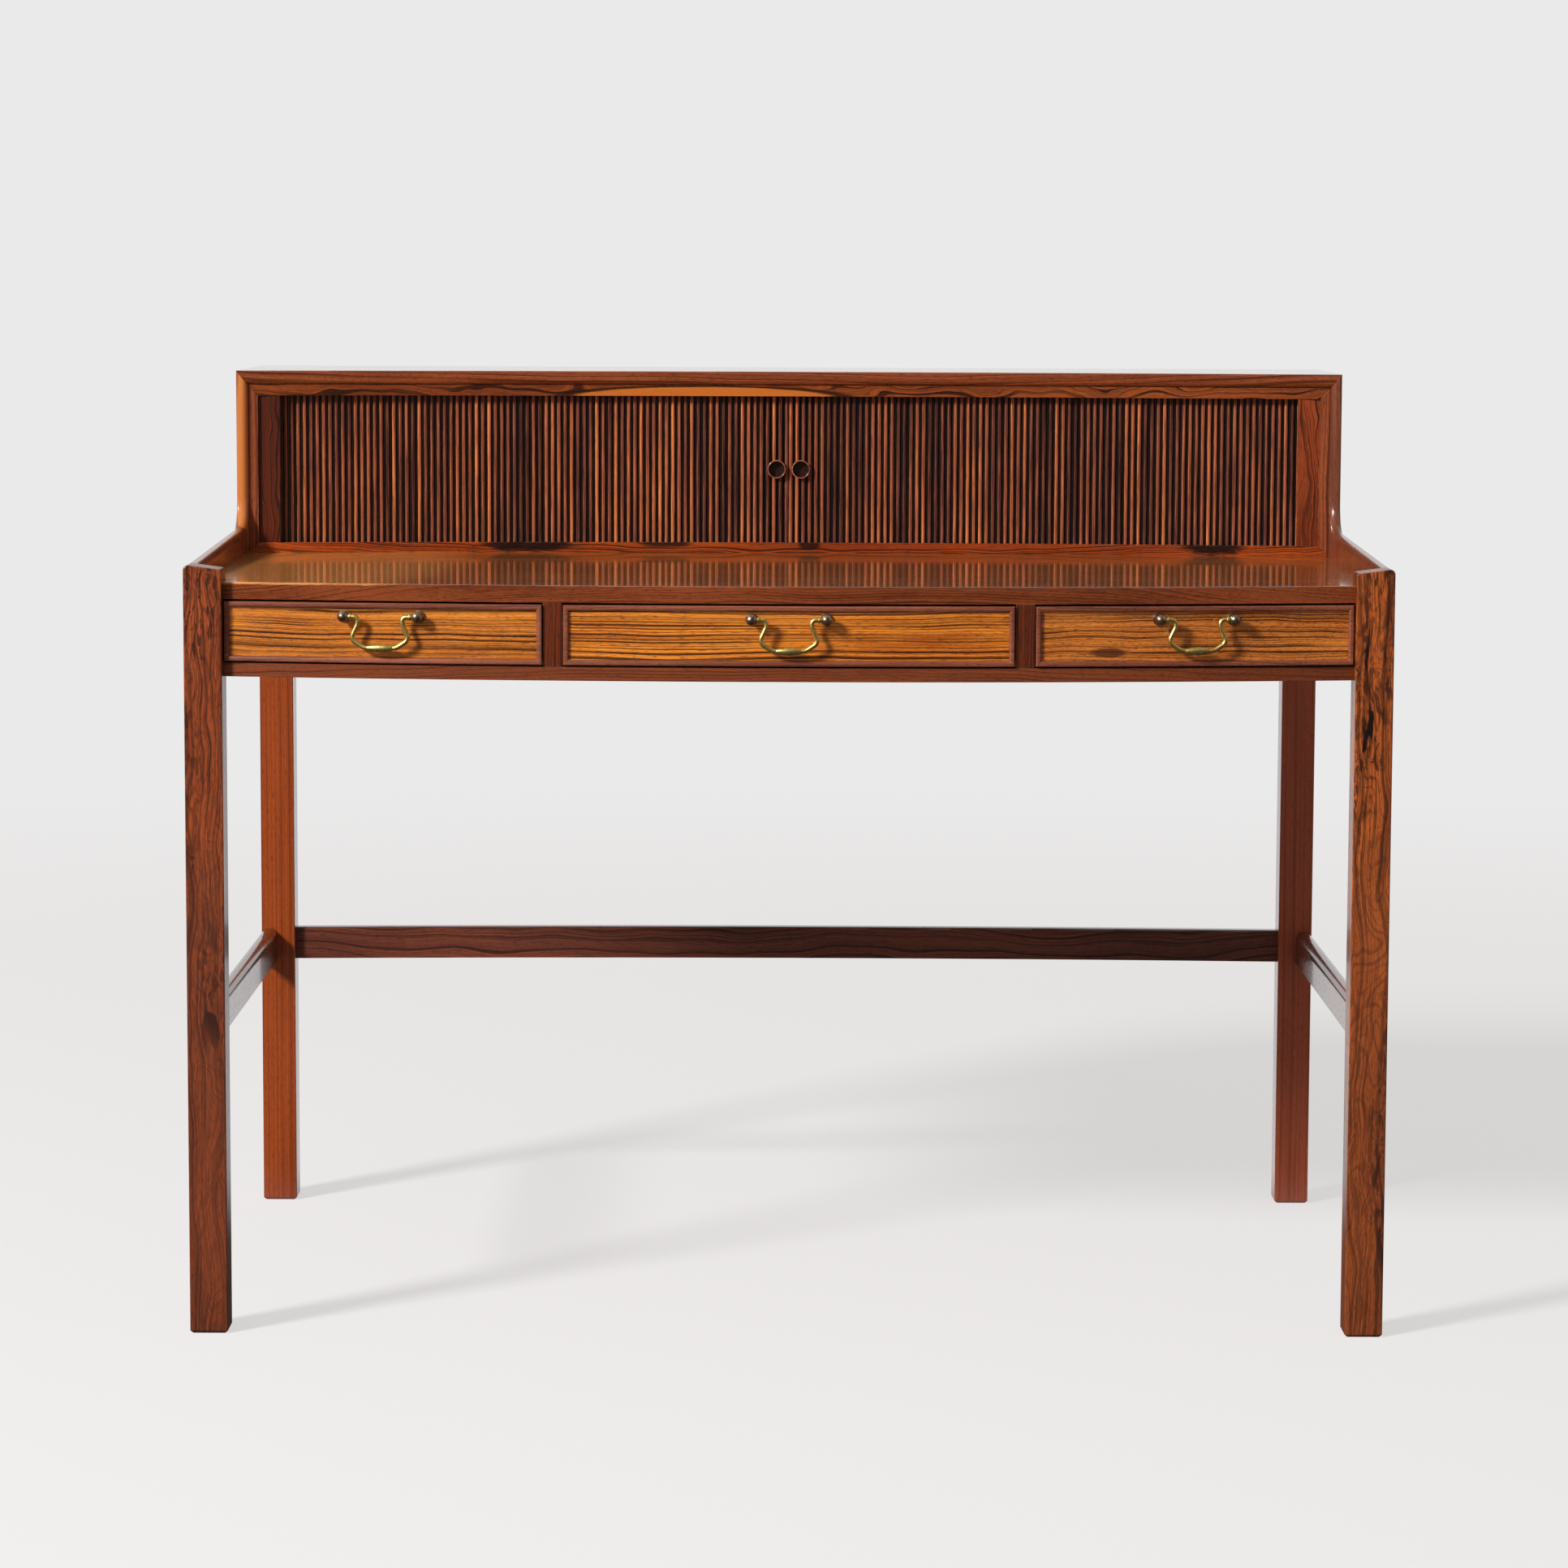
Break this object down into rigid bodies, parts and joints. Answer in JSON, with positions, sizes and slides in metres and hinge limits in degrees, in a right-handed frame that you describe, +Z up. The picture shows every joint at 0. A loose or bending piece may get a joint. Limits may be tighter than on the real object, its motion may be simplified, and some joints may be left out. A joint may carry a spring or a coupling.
{
  "type": "tambour writing desk",
  "caption": "Writing desk with a bowed drawer front, gallery sides swept up into a low case, curved tambour doors, square legs and stretchers.",
  "frame": {"origin": "on the floor under the middle of the overall box", "axes": "+X to the right as seen from the drawer side, +Y towards the case and the back, +Z up"},
  "size_m": [1.2, 0.7748, 0.955],
  "materials": {
    "rosewood": "glossy lacquer",
    "front_leg_wood": "glossy lacquer over figured veneer",
    "drawer_veneer": "glossy lacquer over straight-grained veneer",
    "reed_wood": "satin lacquer",
    "pull_wood": "satin lacquer",
    "box_wood": "oiled",
    "canvas": "woven",
    "bail_brass": "polished",
    "stud_bronze": "dark patina"
  },
  "bodies": {
    "carcass": {"leg_front_left": "front_leg_wood", "leg_front_right": "front_leg_wood", "leg_back_left": "rosewood", "leg_back_right": "rosewood", "stretcher_left": "rosewood", "stretcher_right": "rosewood", "stretcher_back": "rosewood", "table_top": "rosewood", "front_rail": "rosewood", "divider_left": "rosewood", "divider_right": "rosewood", "apron_back": "box_wood", "drawer_runners": "box_wood", "side_board_left": "rosewood", "side_board_right": "rosewood", "case_top": "rosewood", "case_back": "rosewood", "frame_sill": "rosewood", "frame_head": "rosewood", "track_lower": "box_wood", "track_upper": "box_wood", "frame_strip_left": "rosewood", "frame_strip_right": "rosewood", "stile_left": "rosewood", "stile_right": "rosewood", "lining_left": "box_wood", "lining_right": "box_wood", "lining_back": "box_wood"},
    "drawer_left": {"drawer_left_front": "drawer_veneer", "drawer_left_bead": "rosewood", "drawer_left_side_left": "box_wood", "drawer_left_side_right": "box_wood", "drawer_left_back": "box_wood", "drawer_left_bottom": "box_wood", "drawer_left_studs": "stud_bronze"},
    "bail_left": {"drawer_left_bail": "bail_brass"},
    "drawer_centre": {"drawer_centre_front": "drawer_veneer", "drawer_centre_bead": "rosewood", "drawer_centre_side_left": "box_wood", "drawer_centre_side_right": "box_wood", "drawer_centre_back": "box_wood", "drawer_centre_bottom": "box_wood", "drawer_centre_studs": "stud_bronze"},
    "bail_centre": {"drawer_centre_bail": "bail_brass"},
    "drawer_right": {"drawer_right_front": "drawer_veneer", "drawer_right_bead": "rosewood", "drawer_right_side_left": "box_wood", "drawer_right_side_right": "box_wood", "drawer_right_back": "box_wood", "drawer_right_bottom": "box_wood", "drawer_right_studs": "stud_bronze"},
    "bail_right": {"drawer_right_bail": "bail_brass"},
    "door_left": {"lead_left": "reed_wood", "pull_left": "pull_wood", "slats_left": "reed_wood", "canvas_left": "canvas"},
    "door_right": {"lead_right": "reed_wood", "pull_right": "pull_wood", "slats_right": "reed_wood", "canvas_right": "canvas"}
  },
  "joints": [
    {"name": "drawer_left_slide", "type": "slide", "parent": "carcass", "child": "drawer_left", "axis": [0, -1, 0], "range_m": [0, 0.4]},
    {"name": "bail_left_swing", "type": "hinge", "parent": "drawer_left", "child": "bail_left", "pos_m": [-0.40345, -0.35957, 0.725], "axis": [-0.9941, 0.1089, 0], "range_deg": [0, 95]},
    {"name": "drawer_centre_slide", "type": "slide", "parent": "carcass", "child": "drawer_centre", "axis": [0, -1, 0], "range_m": [0, 0.4]},
    {"name": "bail_centre_swing", "type": "hinge", "parent": "drawer_centre", "child": "bail_centre", "pos_m": [0, -0.3816, 0.725], "axis": [-1, 0, 0], "range_deg": [0, 95]},
    {"name": "drawer_right_slide", "type": "slide", "parent": "carcass", "child": "drawer_right", "axis": [0, -1, 0], "range_m": [0, 0.4]},
    {"name": "bail_right_swing", "type": "hinge", "parent": "drawer_right", "child": "bail_right", "pos_m": [0.40345, -0.35957, 0.725], "axis": [-0.9941, -0.1089, 0], "range_deg": [0, 95]},
    {"name": "door_left_run", "type": "hinge", "parent": "carcass", "child": "door_left", "pos_m": [0, -4.92507, 0.848], "axis": [0, 0, 1], "range_deg": [0, 5.88], "deforming": ["slats_left", "canvas_left"]},
    {"name": "door_right_run", "type": "hinge", "parent": "carcass", "child": "door_right", "pos_m": [0, -4.92507, 0.848], "axis": [0, 0, -1], "range_deg": [0, 5.88], "deforming": ["slats_right", "canvas_right"]}
  ]
}
